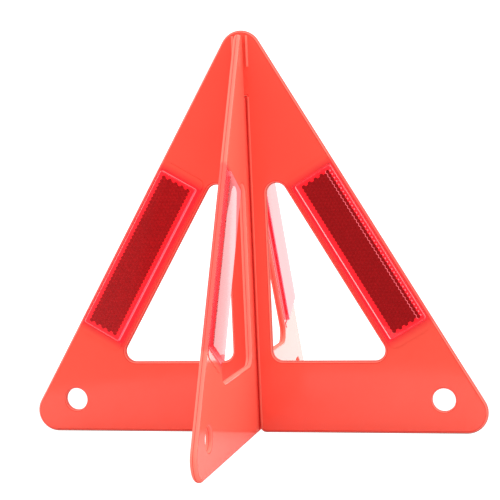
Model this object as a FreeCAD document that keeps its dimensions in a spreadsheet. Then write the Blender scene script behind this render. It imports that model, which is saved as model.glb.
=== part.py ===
import FreeCAD, Part
import math
import os

import Sketcher
from FreeCAD import Placement, Rotation, Vector

# Cross-type warning triangle: two slotted plastic panels standing in each other
# at a right angle, with a prismatic reflector set into every sloped bar.
# Millimetres.  The main panel lies in XZ, the cross panel in YZ, both stand on z = 0.

DIMENSIONS = [
    # panels
    ("half_base", "130"),            # half width of the triangle, sharp corner
    ("apex_height", "221"),          # height of the triangle, sharp corner
    ("panel_thickness", "3.5"),
    ("corner_radius", "11"),
    ("edge_round", "1.6"),           # rounding between the faces and the edge walls
    ("bar_width", "29.1"),           # sloped bar, measured square to its edge
    ("sill_height", "38"),         # height of the bottom bar
    ("mullion_half", "10.8"),        # half width of the upright in the middle
    ("window_radius", "5.3"),
    ("hole_radius", "6"),
    ("hole_inset", "17.5"),          # hole centre to the base and to the sloped edge
    ("hole_round", "0.9"),
    ("slot_height", "176"),          # where the two slots meet
    ("slot_clearance", "0.35"),       # each side of the panel that stands in the slot
    ("mouth_radius", "3.4"),
    ("rib_foot", "191.5"),
    ("rib_length", "16"),
    ("rib_width", "1.1"),
    ("rib_rise", "0.8"),
    ("rib_gap", "1.4"),              # rib to the face of the cross panel
    ("pin_mark_height", "183.5"),    # round ejector mark above the main panel's slot
    ("pin_mark_radius", "3.8"),
    ("pin_mark_depth", "0.15"),
    # reflector seat, along and across the sloped bar
    ("seat_centre_along", "117.4"),  # from the sharp base corner to the seat's middle
    ("seat_centre_inset", "14"),     # from the outer edge to the seat's middle
    ("seat_clearance", "0.15"),
    ("land_length", "103.5"),        # low pads that run on past both ends of the seat
    ("land_rise", "0.3"),
    ("land_radius", "3.5"),
    ("cavity_depth", "2.4"),
    ("cavity_margin", "0.6"),
    # reflector
    ("flange_length", "93.8"),
    ("flange_width", "24"),
    ("flange_thickness", "1"),
    ("flange_radius", "1.5"),
    ("block_length", "92.6"),
    ("block_width", "21.8"),
    ("block_offset", "0.8"),           # block towards the outer edge of the bar
    ("block_rise", "2.1"),
    ("block_radius", "1"),
    ("block_round", "0.6"),
    ("prism_length", "89.4"),
    ("prism_width", "17.2"),
    ("prism_offset", "1.25"),
    ("prism_depth", "0.9"),
    # worked out from the above
    ("slope_length", "=sqrt(half_base ^ 2 + apex_height ^ 2)"),
    ("bar_reach", "=bar_width * slope_length / apex_height"),
    ("window_foot", "=half_base - bar_reach - sill_height * half_base / apex_height"),
    ("window_top", "=(half_base - bar_reach - mullion_half) * apex_height / half_base"),
    ("hole_centre", "=half_base - hole_inset * (half_base + slope_length) / apex_height"),
    ("slot_half", "=panel_thickness / 2 + slot_clearance"),
    ("rib_middle", "=panel_thickness / 2 + rib_gap + rib_width / 2"),
    ("seat_x",
     "=half_base - (seat_centre_along * half_base + seat_centre_inset * apex_height) / slope_length"),
    ("seat_z", "=(seat_centre_along * apex_height - seat_centre_inset * half_base) / slope_length"),
    ("seat_length", "=flange_length + 2 * seat_clearance"),
    ("seat_width", "=flange_width + 2 * seat_clearance"),
    ("seat_depth", "=flange_thickness + land_rise"),
    ("cavity_length", "=prism_length + 2 * cavity_margin"),
    ("cavity_width", "=prism_width + 2 * cavity_margin"),
]


def make_sheet(doc):
    sheet = doc.addObject("Spreadsheet::Sheet", "dims")
    for row, (name, value) in enumerate(DIMENSIONS, start=1):
        sheet.set("A%d" % row, name)
        sheet.set("B%d" % row, value)
        sheet.setAlias("B%d" % row, name)
    doc.recompute()
    return sheet


def origin_plane(body, role):
    for feature in body.Origin.OriginFeatures:
        if feature.Role == role:
            return feature
    raise ValueError(role)


def new_sketch(body, name, offset=None):
    """Sketch on the body's XZ plane; offset moves it along the plane's normal, which is -Y."""
    sketch = body.newObject("Sketcher::SketchObject", name)
    sketch.AttachmentSupport = (origin_plane(body, "XZ_Plane"), [""])
    sketch.MapMode = "FlatFace"
    if offset:
        sketch.setExpression("AttachmentOffset.Base.z", offset)
    return sketch


def bind(sketch, kind, geometry, value, expression):
    """Add one dimension to a sketch and tie it to the sheet."""
    index = sketch.addConstraint(Sketcher.Constraint(kind, *geometry, value))
    sketch.setExpression("Constraints[%d]" % index, expression)


def polygon(sketch, corners):
    """Closed polygon; corners are (x, x expression, z, z expression)."""
    first = sketch.GeometryCount
    count = len(corners)
    for k in range(count):
        start = Vector(corners[k][0], corners[k][2], 0)
        end = Vector(corners[(k + 1) % count][0], corners[(k + 1) % count][2], 0)
        sketch.addGeometry(Part.LineSegment(start, end), False)
    for k in range(count):
        after = first + (k + 1) % count
        sketch.addConstraint(Sketcher.Constraint("Coincident", first + k, 2, after, 1))
    for k, (x, x_expression, z, z_expression) in enumerate(corners):
        bind(sketch, "DistanceX", (-1, 1, first + k, 1), x, x_expression)
        bind(sketch, "DistanceY", (-1, 1, first + k, 1), z, z_expression)


def rectangle(sketch, x_low, x_high, z_low, z_high):
    """Upright rectangle from four (value, expression) pairs."""
    polygon(sketch, [
        (x_low[0], x_low[1], z_low[0], z_low[1]),
        (x_high[0], x_high[1], z_low[0], z_low[1]),
        (x_high[0], x_high[1], z_high[0], z_high[1]),
        (x_low[0], x_low[1], z_high[0], z_high[1]),
    ])


def rounded_rectangle(sketch, width, length, radius, shift=None, side=1):
    """Rounded rectangle about the sketch's origin, moved across by the named shift times side."""
    half_width = value_of(width) / 2
    half_length = value_of(length) / 2
    r = value_of(radius)
    move = side * value_of(shift) if shift else 0.0
    text = " %s dims.%s" % ("+" if side > 0 else "-", shift) if shift else ""
    left, right = move - half_width, move + half_width
    first = sketch.GeometryCount
    centres = [
        (right - r, -half_length + r),
        (right - r, half_length - r),
        (left + r, half_length - r),
        (left + r, -half_length + r),
    ]
    lines = [
        ((left + r, -half_length), (right - r, -half_length)),
        ((right, -half_length + r), (right, half_length - r)),
        ((right - r, half_length), (left + r, half_length)),
        ((left, half_length - r), (left, -half_length + r)),
    ]
    for k in range(4):
        start, end = lines[k]
        sketch.addGeometry(Part.LineSegment(Vector(*start, 0), Vector(*end, 0)), False)
        circle = Part.Circle(Vector(*centres[k], 0), Vector(0, 0, 1), r)
        from_angle = (k - 1) * math.pi / 2
        sketch.addGeometry(Part.ArcOfCircle(circle, from_angle, from_angle + math.pi / 2), False)
    for k in range(4):
        line = first + 2 * k
        following = first + (2 * k + 2) % 8
        sketch.addConstraint(Sketcher.Constraint("Tangent", line, 2, line + 1, 1))
        sketch.addConstraint(Sketcher.Constraint("Tangent", line + 1, 2, following, 1))
        sketch.addConstraint(Sketcher.Constraint("Horizontal" if k % 2 == 0 else "Vertical", line))
    for k in range(1, 4):
        sketch.addConstraint(Sketcher.Constraint("Equal", first + 1, first + 2 * k + 1))
    bind(sketch, "Radius", (first + 1,), r, "dims.%s" % radius)
    bind(sketch, "DistanceX", (-1, 1, first + 2, 1), right, "dims.%s / 2%s" % (width, text))
    bind(sketch, "DistanceX", (-1, 1, first + 6, 1), left, "-dims.%s / 2%s" % (width, text))
    bind(sketch, "DistanceY", (-1, 1, first, 1), -half_length, "-dims.%s / 2" % length)
    bind(sketch, "DistanceY", (-1, 1, first + 4, 1), half_length, "dims.%s / 2" % length)


def value_of(name):
    return float(FreeCAD.ActiveDocument.dims.get(name))


def pad(body, sketch, name, length, both_ways=False, inward=False):
    """Pad along the plane's normal, -Y; inward turns it to +Y."""
    feature = body.newObject("PartDesign::Pad", name)
    feature.Profile = sketch
    feature.setExpression("Length", length)
    feature.Midplane = both_ways
    feature.Reversed = inward
    sketch.Visibility = False
    body.Document.recompute()
    body.Tip = feature
    return feature


def cut(body, sketch, name, depth=None):
    """Pocket to a depth from the sketch, or through everything both ways."""
    before = body.Shape.Volume
    feature = body.newObject("PartDesign::Pocket", name)
    feature.Profile = sketch
    if depth:
        feature.setExpression("Length", depth)
    else:
        feature.Midplane = True
        feature.Type = "ThroughAll"
    sketch.Visibility = False
    body.Document.recompute()
    body.Tip = feature
    if not body.Shape.Volume < before - 1e-3:
        raise ValueError("%s removes nothing" % name)
    return feature


def round_edges(body, name, edges, radius):
    base = body.Tip
    names = ["Edge%d" % (k + 1) for k, edge in enumerate(base.Shape.Edges) if edges(edge)]
    if not names:
        raise ValueError("%s finds no edge" % name)
    feature = body.newObject("PartDesign::Fillet", name)
    feature.Base = (base, names)
    feature.setExpression("Radius", "dims.%s" % radius)
    body.Document.recompute()
    body.Tip = feature
    return feature


def runs_through(edge):
    """Straight edge square to the panel's faces."""
    if not isinstance(edge.Curve, Part.Line):
        return False
    return abs(edge.tangentAt(edge.FirstParameter).y) > 0.999


def bar_sketch(body, name, side, offset):
    """Sketch in the middle of a reflector seat, its Y axis up along the sloped bar."""
    sketch = new_sketch(body, name, offset)
    sign = "" if side > 0 else "-"
    sketch.setExpression("AttachmentOffset.Base.x", "%sdims.seat_x" % sign)
    sketch.setExpression("AttachmentOffset.Base.y", "dims.seat_z")
    sketch.setExpression(
        "AttachmentOffset.Rotation.Angle", "%sasin(dims.half_base / dims.slope_length)" % sign)
    body.Document.recompute()
    return sketch


def make_panel(doc, label, slot_from_base):
    """One triangular panel in its own XZ plane, its reflector side facing -Y."""
    thickness = value_of("panel_thickness")
    body = doc.addObject("PartDesign::Body", label)
    body.Label = label

    outline = new_sketch(body, label + "_outline")
    half_base = value_of("half_base")
    apex = value_of("apex_height")
    polygon(outline, [
        (-half_base, "-dims.half_base", 0, "0"),
        (half_base, "dims.half_base", 0, "0"),
        (0, "0", apex, "dims.apex_height"),
    ])
    pad(body, outline, label + "_plate", "dims.panel_thickness", both_ways=True)
    round_edges(body, label + "_corners", runs_through, "corner_radius")

    windows = new_sketch(body, label + "_windows")
    mullion = value_of("mullion_half")
    sill = value_of("sill_height")
    foot = value_of("window_foot")
    top = value_of("window_top")
    for sign, text in ((1, ""), (-1, "-")):
        polygon(windows, [
            (sign * mullion, text + "dims.mullion_half", sill, "dims.sill_height"),
            (sign * foot, text + "dims.window_foot", sill, "dims.sill_height"),
            (sign * mullion, text + "dims.mullion_half", top, "dims.window_top"),
        ])
    cut(body, windows, label + "_window_cut")

    def window_corner(edge):
        centre = edge.BoundBox.Center
        inside = abs(centre.x) < foot + 0.1 and sill - 0.1 < centre.z < top + 0.1
        return runs_through(edge) and inside

    round_edges(body, label + "_window_corners", window_corner, "window_radius")

    slot = new_sketch(body, label + "_slot")
    slot_half = value_of("slot_half")
    slot_height = value_of("slot_height")
    if slot_from_base:
        low = (-5.0, "-5")
        high = (slot_height, "dims.slot_height")
    else:
        low = (slot_height, "dims.slot_height")
        high = (apex, "dims.apex_height")
    rectangle(slot, (-slot_half, "-dims.slot_half"), (slot_half, "dims.slot_half"), low, high)
    cut(body, slot, label + "_slot_cut")

    def slot_mouth(edge):
        centre = edge.BoundBox.Center
        at_mouth = centre.z < 1.0 or centre.z > slot_height + 5.0
        return runs_through(edge) and abs(abs(centre.x) - slot_half) < 0.05 and at_mouth

    round_edges(body, label + "_slot_mouth", slot_mouth, "mouth_radius")

    def face_edge(edge):
        centre = edge.BoundBox.Center
        flat = edge.BoundBox.YLength < 1e-3
        return flat and abs(abs(centre.y) - thickness / 2) < 1e-3

    round_edges(body, label + "_edges", face_edge, "edge_round")

    holes = new_sketch(body, label + "_holes")
    hole_x = value_of("hole_centre")
    hole_z = value_of("hole_inset")
    radius = value_of("hole_radius")
    for sign, text in ((1, ""), (-1, "-")):
        centre = Vector(sign * hole_x, hole_z, 0)
        index = holes.addGeometry(Part.Circle(centre, Vector(0, 0, 1), radius), False)
        bind(holes, "Radius", (index,), radius, "dims.hole_radius")
        bind(holes, "DistanceX", (-1, 1, index, 3), sign * hole_x, text + "dims.hole_centre")
        bind(holes, "DistanceY", (-1, 1, index, 3), hole_z, "dims.hole_inset")
    cut(body, holes, label + "_hole_cut")

    def hole_rim(edge):
        return isinstance(edge.Curve, Part.Circle) and abs(edge.Curve.Radius - radius) < 1e-3

    round_edges(body, label + "_hole_rims", hole_rim, "hole_round")

    face = "dims.panel_thickness / 2"
    raised = "dims.panel_thickness / 2 + dims.land_rise"
    for side, end in ((-1, "_left"), (1, "_right")):
        land = bar_sketch(body, label + "_land" + end, side, face)
        rounded_rectangle(land, "seat_width", "land_length", "land_radius")
        pad(body, land, label + "_land_pad" + end, "dims.land_rise")
        pocket = bar_sketch(body, label + "_seat" + end, side, raised)
        rounded_rectangle(pocket, "seat_width", "seat_length", "flange_radius")
        cut(body, pocket, label + "_seat_cut" + end, "dims.seat_depth")
        cavity = bar_sketch(body, label + "_cavity" + end, side, face)
        rounded_rectangle(cavity, "cavity_width", "cavity_length", "flange_radius", "prism_offset", side)
        cut(body, cavity, label + "_cavity_cut" + end, "dims.cavity_depth")

    if slot_from_base:
        ribs = new_sketch(body, label + "_ribs")
        middle = value_of("rib_middle")
        half = value_of("rib_width") / 2
        rib_foot = value_of("rib_foot")
        rib_top = rib_foot + value_of("rib_length")
        for sign, text in ((1, ""), (-1, "-")):
            rectangle(
                ribs,
                (sign * (middle - half), "%s(dims.rib_middle - dims.rib_width / 2)" % text),
                (sign * (middle + half), "%s(dims.rib_middle + dims.rib_width / 2)" % text),
                (rib_foot, "dims.rib_foot"),
                (rib_top, "dims.rib_foot + dims.rib_length"),
            )
        pad(body, ribs, label + "_rib_pad", "dims.panel_thickness + 2 * dims.rib_rise", both_ways=True)

        mark = new_sketch(body, label + "_pin_mark", face)
        height = value_of("pin_mark_height")
        mark_radius = value_of("pin_mark_radius")
        index = mark.addGeometry(Part.Circle(Vector(0, height, 0), Vector(0, 0, 1), mark_radius), False)
        bind(mark, "Radius", (index,), mark_radius, "dims.pin_mark_radius")
        bind(mark, "DistanceY", (-1, 1, index, 3), height, "dims.pin_mark_height")
        mark.addConstraint(Sketcher.Constraint("PointOnObject", index, 3, -2))
        cut(body, mark, label + "_pin_mark_cut", "dims.pin_mark_depth")
    return body


def make_reflector(doc, label):
    """Reflector about its own middle: Z along the bar, +X to its outer edge, front towards -Y.

    y = 0 is the face of the panel it is set into.
    """
    body = doc.addObject("PartDesign::Body", label)
    body.Label = label

    flange = new_sketch(body, label + "_flange")
    rounded_rectangle(flange, "flange_width", "flange_length", "flange_radius")
    pad(body, flange, label + "_flange_pad", "dims.flange_thickness", inward=True)

    prisms = new_sketch(body, label + "_prisms", "-dims.flange_thickness")
    rounded_rectangle(prisms, "prism_width", "prism_length", "block_radius", "prism_offset")
    pad(body, prisms, label + "_prism_pad", "dims.prism_depth", inward=True)

    block = new_sketch(body, label + "_block")
    rounded_rectangle(block, "block_width", "block_length", "block_radius", "block_offset")
    pad(body, block, label + "_block_pad", "dims.block_rise")
    rise = value_of("block_rise")

    def front_edge(edge):
        return edge.BoundBox.YLength < 1e-3 and abs(edge.BoundBox.Center.y + rise) < 1e-3

    round_edges(body, label + "_front_edges", front_edge, "block_round")
    return body


def set_in_panel(reflector, side, turn):
    """Put a reflector in the left (-1) or right (1) bar of a panel turned about Z."""
    lean = math.degrees(math.asin(value_of("half_base") / value_of("slope_length")))
    angle = -lean if side > 0 else 180.0 + lean
    seat = Vector(side * value_of("seat_x"), -value_of("panel_thickness") / 2, value_of("seat_z"))
    local = Placement(seat, Rotation(Vector(0, 1, 0), angle))
    reflector.Placement = Placement(Vector(0, 0, 0), Rotation(Vector(0, 0, 1), turn)).multiply(local)


doc = FreeCAD.newDocument("warning_triangle")
make_sheet(doc)

main_panel = make_panel(doc, "main_panel", slot_from_base=True)
cross_panel = make_panel(doc, "cross_panel", slot_from_base=False)
cross_panel.Placement = Placement(Vector(0, 0, 0), Rotation(Vector(0, 0, 1), 90))
nodes = [main_panel, cross_panel]
for label, side, turn in (
    ("reflector_left", -1, 0),
    ("reflector_right", 1, 0),
    ("reflector_front", -1, 90),
    ("reflector_rear", 1, 90),
):
    reflector = make_reflector(doc, label)
    set_in_panel(reflector, side, turn)
    nodes.append(reflector)

doc.recompute()
for feature in doc.Objects:
    if "Invalid" in feature.State or "Error" in feature.State:
        raise ValueError("%s is %s" % (feature.Name, feature.State))

os.makedirs("parts", exist_ok=True)
for node in nodes:
    if node.Shape.isNull() or not node.Shape.isValid() or len(node.Shape.Solids) != 1:
        raise ValueError("%s has no single valid solid" % node.Label)
    node.Shape.exportStep("parts/%s.step" % node.Label)
    box = node.Shape.BoundBox
    print("%-16s %9.1f mm3  x %.2f %.2f  y %.2f %.2f  z %.2f %.2f" % (
        node.Label, node.Shape.Volume, box.XMin, box.XMax, box.YMin, box.YMax, box.ZMin, box.ZMax))
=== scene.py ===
import math

import bmesh
import bpy
from mathutils import Matrix, Vector


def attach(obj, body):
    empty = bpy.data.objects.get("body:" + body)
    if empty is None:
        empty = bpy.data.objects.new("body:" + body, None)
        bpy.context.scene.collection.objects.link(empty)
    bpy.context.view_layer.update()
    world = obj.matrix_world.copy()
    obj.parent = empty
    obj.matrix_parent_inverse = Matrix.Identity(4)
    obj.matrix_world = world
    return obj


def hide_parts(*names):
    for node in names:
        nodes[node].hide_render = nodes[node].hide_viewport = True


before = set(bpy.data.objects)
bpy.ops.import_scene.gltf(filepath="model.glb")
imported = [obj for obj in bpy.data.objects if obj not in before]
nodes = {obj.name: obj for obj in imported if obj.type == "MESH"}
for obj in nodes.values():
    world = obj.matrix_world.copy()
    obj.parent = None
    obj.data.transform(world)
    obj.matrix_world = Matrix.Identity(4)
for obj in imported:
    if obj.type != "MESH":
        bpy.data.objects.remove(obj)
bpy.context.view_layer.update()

scene = bpy.context.scene
MM = 0.001

# The panel's triangle and the reflector's seat in it, in millimetres.
HALF_BASE = 130.0
APEX_HEIGHT = 221.0
PANEL_THICKNESS = 3.5
SEAT_ALONG = 117.4
SEAT_INSET = 14.0

# The reflector: a flange let into the panel, and a block that stands proud of it.
FLANGE = (94.05, 24.25, 1.6)
FLANGE_DEPTH = 0.95
FLANGE_BEVEL = 0.1
BLOCK = (92.6, 21.8, 1.0)
BLOCK_SHIFT = 0.8
BLOCK_RISE = 2.1
BLOCK_ROUND = 0.6
CORE_GAP = 0.08

# Its cube corners: hexagonal pins in rows along the bar. SPOTS are the middles of blank patches,
# across and along the bar from the middle of the seat.
PIN_PITCH = 2.12
PIN_ROWS = 9
PINS_IN_ROW = 42
PIN_SHIFT = 1.25
PIN_TOP = -1.5
PIN_RADIUS = PIN_PITCH / math.sqrt(3.0)
PIN_DEPTH_SHARE = 0.8
CORE_FLOOR = -0.12
SPOT_RADIUS = 1.5
SPOTS = ((-4.0, 40.4), (-4.0, 13.0), (1.5, -9.9))
# The studs and the ridge are no parts of the real reflector: they carry painted glints and a painted
# highlight.
STUD_RADIUS = 0.55
STUD_RISE = 0.3
STUD_OUT = -0.05
RIDGE_WIDTH = 0.28
RIDGE_RISE = 0.05

# The panels' reds: faces; painted highlights on the rims, ribs and slot lips; painted shade on the
# outline, in the crease and in the slot; the parting line; and a painted glow round the reflectors.
MAIN_RED = ((0.99, 0.100, 0.063), (1.0, 0.108, 0.069))
# The cross panel's red is the plastic's own red, drawn a little lighter than the main panel's: painted
# light, for the light falling on its faces.
CROSS_LIT_RED = ((1.0, 0.122, 0.082), (1.0, 0.130, 0.088))
RIM_HIGHLIGHT_RED = (1.0, 0.205, 0.155)
EDGE_SHADE_RED = (0.45, 0.085, 0.07)
RIB_HIGHLIGHT_RED = (1.0, 0.26, 0.19)
SEAM_AND_CREASE_SHADE_RED = (0.80, 0.05, 0.035)
SLOT_SHADE_RED = (0.95, 0.062, 0.045)
PAINTED_GLOW_RED = (1.0, 0.030, 0.045)

# Where those reds lie, in millimetres from the panel's middle plane; SLOT_SHADE and SLOT_LIP are
# from its upright axis and SLOT_TOP is a height. SEAT_HALF is half the reflector's seat, and
# GLOW_REACH how far the painted glow runs past it. The shares say how strongly a red covers what is under
# it.
RIM_HALF = 1.59
EDGE_HALF = 1.3
EDGE_SHARE = 0.75
RIB_FROM = 2.08
PARTING_HALF = 0.12
CREASE_SHADE_BAND = (1.685, 1.738)
SLOT_SHADE = (2.2, 3.2)
SLOT_LIP = (2.75, 3.75)
SLOT_TOP = 176.0
SEAT_HALF = (46.9, 12.0)
GLOW_REACH = 3.6
GLOW_SHARE = 0.8

# The lens's skin: the most glare it shows, its tint, and the painted pink glow, an emission standing in
# for light held inside the plastic, that covers what is behind it as its reflectance goes through
# CARRIED_FROM.
SKIN_IOR = 1.49
SKIN_GLARE = 0.24
SKIN_TINT = ((0.98, 0.41, 0.45), (0.99, 0.44, 0.48))
EDGE_ON_GLOW_RED = (1.0, 0.33, 0.35)
EDGE_ON_GLOW_STRENGTH = 1.15
CARRIED_FROM = (0.1, 0.26)
CARRIED_SHARE = 0.85

# The floor, and the surroundings' greys from front to back (place on the way, grey).
FLOOR_RADIUS = 0.20
FLOOR_GREY = 0.62
FLOOR_WHITE = 1.2
STUDIO_GREYS = ((0.03, 0.1), (0.22, 0.75), (0.6, 1.0))
STUDIO_STRENGTH = 2.35
BACKDROP_WHITE = 1.5

CAMERA_PLACE = (0.19127, -0.7670, 0.16413)
CAMERA_YAW = 13.969
CAMERA_DIP = 4.894
CAMERA_ROLL = -2.441
CAMERA_LENS = 109.31


# ---------------------------------------------------------------- materials

def new_material(name):
    """A material with its output node alone: (material, add node, link sockets, output)."""
    material = bpy.data.materials.new(name)
    material.use_nodes = True
    tree = material.node_tree
    tree.nodes.clear()
    return material, tree.nodes.new, tree.links.new, tree.nodes.new("ShaderNodeOutputMaterial")


def noise(add, link, place, scale, detail):
    node = add("ShaderNodeTexNoise")
    node.inputs["Scale"].default_value = scale
    node.inputs["Detail"].default_value = detail
    link(place, node.inputs["Vector"])
    return node.outputs["Fac"]


def ranged(add, link, value, source, target):
    """value carried from the source range to the target range, and held at its ends."""
    node = add("ShaderNodeMapRange")
    for name, number in zip(("From Min", "From Max", "To Min", "To Max"), (*source, *target)):
        node.inputs[name].default_value = number
    link(value, node.inputs["Value"])
    return node.outputs["Result"]


def spread(add, link, value, low, high):
    """value, from 0 to 1, as low to high."""
    return ranged(add, link, value, (0.0, 1.0), (low, high))


def two_colours(add, link, value, first, second):
    node = add("ShaderNodeValToRGB")
    node.color_ramp.elements[0].position = 0.3
    node.color_ramp.elements[0].color = (*first, 1.0)
    node.color_ramp.elements[1].position = 0.7
    node.color_ramp.elements[1].color = (*second, 1.0)
    link(value, node.inputs["Fac"])
    return node.outputs["Color"]


def over(add, link, share, under, colour):
    """colour laid over the under colour by share."""
    node = add("ShaderNodeMix")
    node.data_type = "RGBA"
    node.inputs["B"].default_value = (*colour, 1.0)
    link(share, node.inputs["Factor"])
    link(under, node.inputs["A"])
    return node.outputs["Result"]


def math_node(add, link, operation, first, second=None):
    """A Math node over two values, each a socket or a number."""
    node = add("ShaderNodeMath")
    node.operation = operation
    for socket, value in zip(node.inputs, (first, second)):
        if isinstance(value, float):
            socket.default_value = value
        elif value is not None:
            link(value, socket)
    return node.outputs[0]


def band(add, link, value, low, high):
    """1 where value is between low and high, 0 outside."""
    above = math_node(add, link, "GREATER_THAN", value, low)
    return math_node(add, link, "MULTIPLY", above, math_node(add, link, "LESS_THAN", value, high))


def near_seat(add, link, sideways, height):
    """1 on the reflectors' seats, falling to 0 at GLOW_REACH from them."""
    slope = math.hypot(HALF_BASE, APEX_HEIGHT)
    out = math_node(add, link, "ABSOLUTE", sideways)
    run = math_node(add, link, "SUBTRACT", HALF_BASE * MM, out)
    along = math_node(
        add, link, "ADD", math_node(add, link, "MULTIPLY", run, HALF_BASE / slope),
        math_node(add, link, "MULTIPLY", height, APEX_HEIGHT / slope))
    inset = math_node(
        add, link, "SUBTRACT", math_node(add, link, "MULTIPLY", run, APEX_HEIGHT / slope),
        math_node(add, link, "MULTIPLY", height, HALF_BASE / slope))
    gaps = []
    for value, middle, half in ((along, SEAT_ALONG, SEAT_HALF[0]), (inset, SEAT_INSET, SEAT_HALF[1])):
        off = math_node(add, link, "ABSOLUTE", math_node(add, link, "SUBTRACT", value, middle * MM))
        gaps.append(math_node(add, link, "SUBTRACT", off, half * MM))
    gap = math_node(add, link, "MAXIMUM", *gaps)
    return ranged(add, link, gap, (0.0, GLOW_REACH * MM), (1.0, 0.0))


def panel_plastic(name, across, sideways, reds, in_slot):
    """Glossy orange-red plastic: painted highlights on the rims and ribs, a painted red glow round the
    reflectors, painted shade in the crease by the rims, a darker parting line, flow marks, moulding
    waviness and fine scuffs. across is the axis through its thickness and sideways the one along its
    base. in_slot paints shade on the strip that stands in the other panel's slot; without it the
    slot's lips get a painted highlight and the outer edges painted shade."""
    material, add, link, output = new_material(name)
    shader = add("ShaderNodeBsdfPrincipled")
    link(shader.outputs["BSDF"], output.inputs["Surface"])
    place = add("ShaderNodeTexCoord").outputs["Object"]
    split = add("ShaderNodeSeparateXYZ")
    link(place, split.inputs[0])
    depth = math_node(add, link, "ABSOLUTE", split.outputs[across])
    beside = math_node(add, link, "ABSOLUTE", split.outputs[sideways])
    flow = noise(add, link, place, 22.0, 3.0)
    colour = two_colours(add, link, flow, *reds)
    # Painted highlight: the rounded rims are drawn lighter.
    rim = math_node(add, link, "LESS_THAN", depth, RIM_HALF * MM)
    colour = over(add, link, rim, colour, RIM_HIGHLIGHT_RED)
    # Painted highlight: the ribs' tops are drawn lighter.
    colour = over(add, link, math_node(add, link, "GREATER_THAN", depth, RIB_FROM * MM), colour, RIB_HIGHLIGHT_RED)
    # Painted glow: a redder red painted round the reflectors' seats, for the light they give the plastic.
    glow = near_seat(add, link, split.outputs[sideways], split.outputs["Z"])
    colour = over(add, link, math_node(add, link, "MULTIPLY", glow, GLOW_SHARE), colour, PAINTED_GLOW_RED)
    parting = math_node(add, link, "LESS_THAN", depth, PARTING_HALF * MM)
    colour = over(add, link, parting, colour, SEAM_AND_CREASE_SHADE_RED)
    # Painted shade: the crease where each rim meets the face is drawn in the parting line's dark red.
    crease_shade = band(add, link, depth, CREASE_SHADE_BAND[0] * MM, CREASE_SHADE_BAND[1] * MM)
    colour = over(add, link, crease_shade, colour, SEAM_AND_CREASE_SHADE_RED)
    if in_slot:
        # Painted shade on the strip beside the other panel, inside the slot.
        near, far = SLOT_SHADE
        shade = ranged(add, link, beside, (near * MM, far * MM), (1.0, 0.0))
        colour = over(add, link, shade, colour, SLOT_SHADE_RED)
        dull = math_node(add, link, "MAXIMUM", rim, shade)
    else:
        # Painted shade: a darker outline along the outer edges.
        edge = math_node(add, link, "LESS_THAN", depth, EDGE_HALF * MM)
        colour = over(add, link, spread(add, link, edge, 0.0, EDGE_SHARE), colour, EDGE_SHADE_RED)
        # Painted highlight on the slot's lips, below SLOT_TOP.
        lip_highlight = band(add, link, beside, SLOT_LIP[0] * MM, SLOT_LIP[1] * MM)
        under_top = math_node(add, link, "LESS_THAN", split.outputs["Z"], SLOT_TOP * MM)
        colour = over(add, link, math_node(add, link, "MULTIPLY", lip_highlight, under_top), colour, RIB_HIGHLIGHT_RED)
        dull = rim
    link(colour, shader.inputs["Base Color"])
    link(spread(add, link, dull, 0.5, 0.0), shader.inputs["Specular IOR Level"])
    scuff = noise(add, link, place, 420.0, 4.0)
    link(spread(add, link, scuff, 0.08, 0.16), shader.inputs["Roughness"])
    bump = add("ShaderNodeBump")
    bump.inputs["Strength"].default_value = 0.12
    bump.inputs["Distance"].default_value = 0.0002
    link(noise(add, link, place, 55.0, 1.0), bump.inputs["Height"])
    link(bump.outputs["Normal"], shader.inputs["Normal"])
    shader.inputs["IOR"].default_value = 1.44
    return material


def clear_red(name):
    """The lens's polished skin: what is behind shows through it, reddened, under a glossy face.
    Edge-on, a painted glow, an emission standing in for the light held inside the plastic, covers
    what is behind."""
    material, add, link, output = new_material(name)
    place = add("ShaderNodeTexCoord").outputs["Object"]
    haze = noise(add, link, place, 160.0, 3.0)
    through = add("ShaderNodeBsdfTransparent")
    link(two_colours(add, link, haze, *SKIN_TINT), through.inputs["Color"])
    mirror = add("ShaderNodeBsdfGlossy")
    link(spread(add, link, haze, 0.02, 0.06), mirror.inputs["Roughness"])
    edge_on = add("ShaderNodeFresnel")
    edge_on.inputs["IOR"].default_value = SKIN_IOR
    # Painted glow: this emission stands in for light held inside the plastic, seen edge-on.
    skin_glow = add("ShaderNodeEmission")
    skin_glow.inputs["Color"].default_value = (*EDGE_ON_GLOW_RED, 1.0)
    skin_glow.inputs["Strength"].default_value = EDGE_ON_GLOW_STRENGTH
    inside = add("ShaderNodeMixShader")
    covered = ranged(add, link, edge_on.outputs["Fac"], CARRIED_FROM, (0.0, CARRIED_SHARE))
    link(covered, inside.inputs["Fac"])
    link(through.outputs["BSDF"], inside.inputs[1])
    link(skin_glow.outputs["Emission"], inside.inputs[2])
    mix = add("ShaderNodeMixShader")
    glare = ranged(add, link, edge_on.outputs["Fac"], (0.0, SKIN_GLARE), (0.0, SKIN_GLARE))
    link(glare, mix.inputs["Fac"])
    link(inside.outputs["Shader"], mix.inputs[1])
    link(mirror.outputs["BSDF"], mix.inputs[2])
    link(mix.outputs["Shader"], output.inputs["Surface"])
    return material


def inner_red(name, first, second, grain, rough, gloss, own):
    """An inner surface of the reflector, between two reds, with a painted glow of its own: an
    emission standing in for the light the clear plastic carries inside it. own is that glow's red,
    green, blue and strength."""
    material, add, link, output = new_material(name)
    shader = add("ShaderNodeBsdfPrincipled")
    link(shader.outputs["BSDF"], output.inputs["Surface"])
    place = add("ShaderNodeTexCoord").outputs["Object"]
    speck = noise(add, link, place, grain, 2.0)
    link(two_colours(add, link, speck, first, second), shader.inputs["Base Color"])
    link(spread(add, link, speck, rough, rough + 0.1), shader.inputs["Roughness"])
    shader.inputs["Specular IOR Level"].default_value = gloss
    shader.inputs["Emission Color"].default_value = (*own[:3], 1.0)
    shader.inputs["Emission Strength"].default_value = own[3]
    return material


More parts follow.
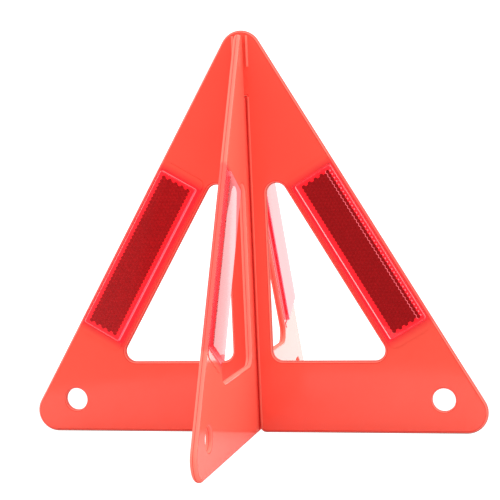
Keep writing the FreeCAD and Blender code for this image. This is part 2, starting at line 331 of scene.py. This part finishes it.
# ---------------------------------------------------------------- meshes

def rounded_ring(size, y, shift=0.0, steps=5):
    """Points of a rounded rectangle (length along Z, width along X, corner radius) at depth y."""
    length, width, radius = size
    points = []
    for quarter, (sx, sz) in enumerate(((1, 1), (-1, 1), (-1, -1), (1, -1))):
        for step in range(steps + 1):
            angle = math.radians(90.0 * (quarter + step / steps))
            points.append((
                shift + sx * (width / 2 - radius) + radius * math.cos(angle), y,
                sz * (length / 2 - radius) + radius * math.sin(angle)))
    return points


def shrunk(size, by):
    length, width, radius = size
    return length - 2 * by, width - 2 * by, max(radius - by, 0.1)


def skin_rings(mesh, rings):
    """A closed skin over rings with the same number of points, and flat caps on both ends."""
    loops = [[mesh.verts.new(point) for point in ring] for ring in rings]
    count = len(loops[0])
    for low, high in zip(loops, loops[1:]):
        for k in range(count):
            mesh.faces.new((low[k], low[(k + 1) % count], high[(k + 1) % count], high[k]))
    mesh.faces.new(loops[0][::-1])
    mesh.faces.new(loops[-1])


def lens_mesh():
    mesh = bmesh.new()
    rings = [
        rounded_ring(FLANGE, FLANGE_DEPTH), rounded_ring(FLANGE, FLANGE_BEVEL),
        rounded_ring(shrunk(FLANGE, FLANGE_BEVEL), 0.0), rounded_ring(BLOCK, 0.0, BLOCK_SHIFT)]
    steps = 5
    for step in range(steps + 1):
        angle = math.radians(90.0 * step / steps)
        by = BLOCK_ROUND * (1.0 - math.cos(angle))
        y = -(BLOCK_RISE - BLOCK_ROUND + BLOCK_ROUND * math.sin(angle))
        rings.append(rounded_ring(shrunk(BLOCK, by), y, BLOCK_SHIFT))
    skin_rings(mesh, rings)
    # Material 1 goes on the block's rounded edge on the window side: a painted highlight there.
    edge = BLOCK_SHIFT - BLOCK[1] / 2 + BLOCK_ROUND
    for face in mesh.faces:
        middle = face.calc_center_median()
        if middle.x < edge and middle.y < BLOCK_ROUND - BLOCK_RISE:
            face.material_index = 1
    return mesh


def core_mesh():
    """What lies under the skin and round the pins."""
    mesh = bmesh.new()
    base = shrunk(FLANGE, CORE_GAP)
    top = shrunk(BLOCK, CORE_GAP)
    skin_rings(mesh, [
        rounded_ring(base, FLANGE_DEPTH - 0.1), rounded_ring(base, 0.06),
        rounded_ring(top, 0.05, BLOCK_SHIFT), rounded_ring(top, CORE_FLOOR, BLOCK_SHIFT)])
    return mesh


def row_places(row):
    """The middles of one row's pins. Every second row has one pin fewer, half a pitch on."""
    count = PINS_IN_ROW - row % 2
    x = (row - (PIN_ROWS - 1) / 2) * PIN_RADIUS * 1.5 + PIN_SHIFT
    return [(x, (column - (count - 1) / 2) * PIN_PITCH) for column in range(count)]


def pin_mesh(spots, side, ridged):
    """Hexagonal pins, each with a cube corner sunk in its front, but shallow near the spots.
    side, 1 or -1 along X, is the side of the field that has studs beside it and, if ridged, a
    ridge; these carry painted glints and a painted highlight. Materials: 0 on the facets, 1 on the
    pins' sides, 2 on the studs and the ridge."""
    mesh = bmesh.new()
    step = PIN_RADIUS / math.sqrt(2.0) * PIN_DEPTH_SHARE
    rim_y = (PIN_TOP, PIN_TOP + step)
    tip_y = PIN_TOP + 2 * step
    corners = {}

    def corner(x, z, y):
        key = (round(x, 3), round(z, 3), round(y, 3))
        if key not in corners:
            corners[key] = mesh.verts.new((x, y, z))
        return corners[key]

    sides = {}
    for row in range(PIN_ROWS):
        for x, z in row_places(row):
            plain = any(math.hypot(x - sx, z - sz) < SPOT_RADIUS for sx, sz in spots)
            rim = []
            for k in range(6):
                angle = math.radians(60.0 * k)
                rim_x = x + PIN_RADIUS * math.cos(angle)
                rim.append(corner(rim_x, z + PIN_RADIUS * math.sin(angle), rim_y[k % 2]))
            tip = corner(x, z, PIN_TOP + step / 2 if plain else tip_y)
            for k in range(0, 6, 2):
                mesh.faces.new((rim[k - 1], tip, rim[(k + 1) % 6], rim[k]))
            for k in range(6):
                pair = (rim[k], rim[(k + 1) % 6])
                sides.setdefault(frozenset(pair), []).append(pair)
    glint_row(mesh, side, ridged)
    for pairs in sides.values():
        if len(pairs) > 1:
            continue
        first, second = pairs[0]
        low = [corner(v.co.x, v.co.z, CORE_FLOOR + 0.02) for v in (second, first)]
        mesh.faces.new((first, second, *low)).material_index = 1
    bmesh.ops.recalc_face_normals(mesh, faces=mesh.faces)
    return mesh


def glint_row(mesh, side, ridged):
    """The studs beside the outermost row of one side, and the ridge that follows its pins: small
    shapes that carry painted glints and a painted highlight.
    """
    for x, z in row_places((PIN_ROWS - 1) // 2 * (1 + side)):
        glint_stud(mesh, x + side * (PIN_RADIUS + STUD_OUT), z)
        if not ridged:
            continue
        inner = [(x - side * PIN_RADIUS * math.cos(a), z + PIN_RADIUS * math.sin(a))
                 for a in (math.radians(60.0), 0.0, math.radians(-60.0))]
        for first, second in zip(inner, inner[1:]):
            ridge(mesh, first, second, side * RIDGE_WIDTH)


def glint_stud(mesh, x, z):
    """A small six-sided bump on the core's floor that carries a painted glint."""
    tip = mesh.verts.new((x, CORE_FLOOR - STUD_RISE, z))
    turns = [math.radians(60.0 * k) for k in range(6)]
    foot = [mesh.verts.new((x + STUD_RADIUS * math.cos(a), CORE_FLOOR, z + STUD_RADIUS * math.sin(a)))
            for a in turns]
    for k in range(6):
        mesh.faces.new((foot[k], foot[(k + 1) % 6], tip)).material_index = 2


def ridge(mesh, first, second, width):
    """A narrow strip over the edge between two pins, carrying a painted highlight."""
    ends = [mesh.verts.new((x + shift, PIN_TOP - RIDGE_RISE, z))
            for shift in (0.0, width) for x, z in (first, second)]
    mesh.faces.new((ends[0], ends[1], ends[3], ends[2])).material_index = 2


def bar_matrix(side, turn):
    """The seat's middle on the panel's face: Z along the bar, X across it, -Y out of the face."""
    slope = math.hypot(HALF_BASE, APEX_HEIGHT)
    x = HALF_BASE - (SEAT_ALONG * HALF_BASE + SEAT_INSET * APEX_HEIGHT) / slope
    z = (SEAT_ALONG * APEX_HEIGHT - SEAT_INSET * HALF_BASE) / slope
    lean = math.asin(HALF_BASE / slope)
    seat = Matrix.Translation(Vector((side * x, -PANEL_THICKNESS / 2, z)) * MM)
    seat = seat @ Matrix.Rotation(-side * lean, 4, "Y") @ Matrix.Scale(side, 4, (1.0, 0.0, 0.0))
    return Matrix.Rotation(turn, 4, "Z") @ seat


def piece(name, mesh, matrix, materials, body, smooth=False):
    """A riding piece from a mesh in millimetres."""
    bmesh.ops.scale(mesh, vec=(MM, MM, MM), verts=mesh.verts)
    mesh.transform(matrix)
    if matrix.determinant() < 0:
        bmesh.ops.reverse_faces(mesh, faces=mesh.faces)
    for face in mesh.faces:
        face.smooth = smooth and len(face.verts) <= 4
    data = bpy.data.meshes.new(name)
    mesh.to_mesh(data)
    mesh.free()
    for material in materials:
        data.materials.append(material)
    made = bpy.data.objects.new(name, data)
    scene.collection.objects.link(made)
    if smooth:
        data.set_sharp_from_angle(angle=math.radians(40.0))
    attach(made, body)
    return made


# ---------------------------------------------------------------- object

for node, *look in (("main_panel", "Y", "X", MAIN_RED, False), ("cross_panel", "X", "Y", CROSS_LIT_RED, True)):
    nodes[node].data.materials.clear()
    nodes[node].data.materials.append(panel_plastic("panel_plastic_" + node, *look))

skin = clear_red("reflector_skin")
core_red = inner_red(
    "reflector_core", (0.98, 0.14, 0.18), (1.0, 0.17, 0.21),
    grain=300.0, rough=0.3, gloss=0.5, own=(1.0, 0.02, 0.05, 0.36))
side_red = inner_red(
    "reflector_pin_sides", (0.80, 0.06, 0.10), (0.90, 0.08, 0.13),
    grain=300.0, rough=0.3, gloss=0.2, own=(1.0, 0.03, 0.06, 0.25))

# Facets, studs and block edge. The right reflector has its own copy of the look, apart from the
# others', for how the light falls on it: painted shade darkens its facets, and painted glints and a
# painted highlight light its studs, ridge and block edge. The right reflector's look is set by
# hand, apart from the others': its facets are darker, and its studs, ridge and block edge lighter.
# The light doesn't cause this.
right_look = (
    inner_red(
        "reflector_facets_painted_shade", (0.15, 0.016, 0.024), (0.23, 0.024, 0.034),
        grain=500.0, rough=0.35, gloss=0.05, own=(1.0, 0.006, 0.012, 0.225)),
    inner_red(
        "reflector_bright_glints", (1.0, 0.60, 0.64), (1.0, 0.68, 0.72),
        grain=900.0, rough=0.2, gloss=0.5, own=(1.0, 0.6, 0.65, 0.6)),
    inner_red(
        "reflector_block_edge_highlight", (1.0, 0.45, 0.48), (1.0, 0.5, 0.53),
        grain=300.0, rough=0.08, gloss=0.5, own=(1.0, 0.45, 0.47, 0.25)))
# The other three share a dimmer copy: fainter painted glints on their studs and a fainter painted
# highlight on their block edge.
other_look = (
    inner_red(
        "reflector_facets", (0.22, 0.020, 0.028), (0.36, 0.030, 0.042),
        grain=500.0, rough=0.35, gloss=0.05, own=(1.0, 0.006, 0.012, 0.245)),
    inner_red(
        "reflector_dim_glints", (1.0, 0.20, 0.22), (1.0, 0.25, 0.27),
        grain=900.0, rough=0.2, gloss=0.5, own=(1.0, 0.12, 0.12, 0.4)),
    inner_red(
        "reflector_block_edge_dim_highlight", (1.0, 0.13, 0.2), (1.0, 0.16, 0.23),
        grain=300.0, rough=0.2, gloss=0.1, own=(1.0, 0.05, 0.1, 0.3)))

for node, side, turn, body in (
    ("reflector_left", -1, 0.0, "main"),
    ("reflector_right", 1, 0.0, "main"),
    ("reflector_front", -1, math.pi / 2, "cross"),
    ("reflector_rear", 1, math.pi / 2, "cross"),
):
    seat = bar_matrix(side, turn)
    own_look = node == "reflector_right"
    facets, studs, edge = right_look if own_look else other_look
    lens = piece(node + "_lens", lens_mesh(), seat, [skin, edge], body, smooth=True)
    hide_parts(node)
    piece(node + "_core", core_mesh(), seat, [core_red], body)
    pins = pin_mesh(SPOTS if own_look else (), side, own_look)
    piece(node + "_pins", pins, seat, [facets, side_red, studs], body)


# ---------------------------------------------------------------- floor, light and camera

def white_floor():
    """A round sheet, plain white to the camera so that no shadow shows on it, and a pale grey
    to everything else."""
    mesh = bmesh.new()
    bmesh.ops.create_circle(mesh, cap_ends=True, segments=96, radius=FLOOR_RADIUS)
    data = bpy.data.meshes.new("floor")
    mesh.to_mesh(data)
    mesh.free()
    floor = bpy.data.objects.new("floor", data)
    scene.collection.objects.link(floor)
    material, add, link, output = new_material("floor_white")
    sheet = add("ShaderNodeBsdfDiffuse")
    sheet.inputs["Color"].default_value = (FLOOR_GREY, FLOOR_GREY, FLOOR_GREY, 1.0)
    lit = add("ShaderNodeEmission")
    lit.inputs["Strength"].default_value = FLOOR_WHITE
    rays = add("ShaderNodeLightPath")
    mix = add("ShaderNodeMixShader")
    link(rays.outputs["Is Camera Ray"], mix.inputs["Fac"])
    link(sheet.outputs[0], mix.inputs[1])
    link(lit.outputs[0], mix.inputs[2])
    link(mix.outputs[0], output.inputs["Surface"])
    data.materials.append(material)


def studio_world():
    """White all round, dimmer in front of the object; the camera itself sees plain white."""
    world = bpy.data.worlds.new("studio")
    world.use_nodes = True
    tree = world.node_tree
    tree.nodes.clear()
    add, link = tree.nodes.new, tree.links.new
    place = add("ShaderNodeTexCoord")
    split = add("ShaderNodeSeparateXYZ")
    link(place.outputs["Generated"], split.inputs[0])
    level = add("ShaderNodeValToRGB")
    ramp = level.color_ramp
    ramp.elements.new(STUDIO_GREYS[-1][0])
    for element, (position, grey) in zip(ramp.elements, STUDIO_GREYS):
        element.position = position
        element.color = (grey, grey, grey, 1.0)
    link(ranged(add, link, split.outputs["Y"], (-1.0, 1.0), (0.0, 1.0)), level.inputs["Fac"])
    light = add("ShaderNodeBackground")
    light.inputs["Strength"].default_value = STUDIO_STRENGTH
    link(level.outputs["Color"], light.inputs["Color"])
    seen = add("ShaderNodeBackground")
    seen.inputs["Color"].default_value = (1.0, 1.0, 1.0, 1.0)
    seen.inputs["Strength"].default_value = BACKDROP_WHITE
    rays = add("ShaderNodeLightPath")
    mix = add("ShaderNodeMixShader")
    link(rays.outputs["Is Camera Ray"], mix.inputs["Fac"])
    link(light.outputs[0], mix.inputs[1])
    link(seen.outputs[0], mix.inputs[2])
    output = add("ShaderNodeOutputWorld")
    link(mix.outputs[0], output.inputs["Surface"])
    scene.world = world


white_floor()
studio_world()
scene.view_settings.view_transform = "Standard"

camera_data = bpy.data.cameras.new("camera")
camera_data.sensor_width = 36.0
camera_data.lens = CAMERA_LENS
camera = bpy.data.objects.new("camera", camera_data)
camera.location = CAMERA_PLACE
yaw = Matrix.Rotation(math.radians(CAMERA_YAW), 4, "Z")
dip = Matrix.Rotation(math.radians(90.0 - CAMERA_DIP), 4, "X")
roll = Matrix.Rotation(math.radians(CAMERA_ROLL), 4, "Z")
camera.rotation_euler = (yaw @ dip @ roll).to_euler()
scene.collection.objects.link(camera)
scene.camera = camera
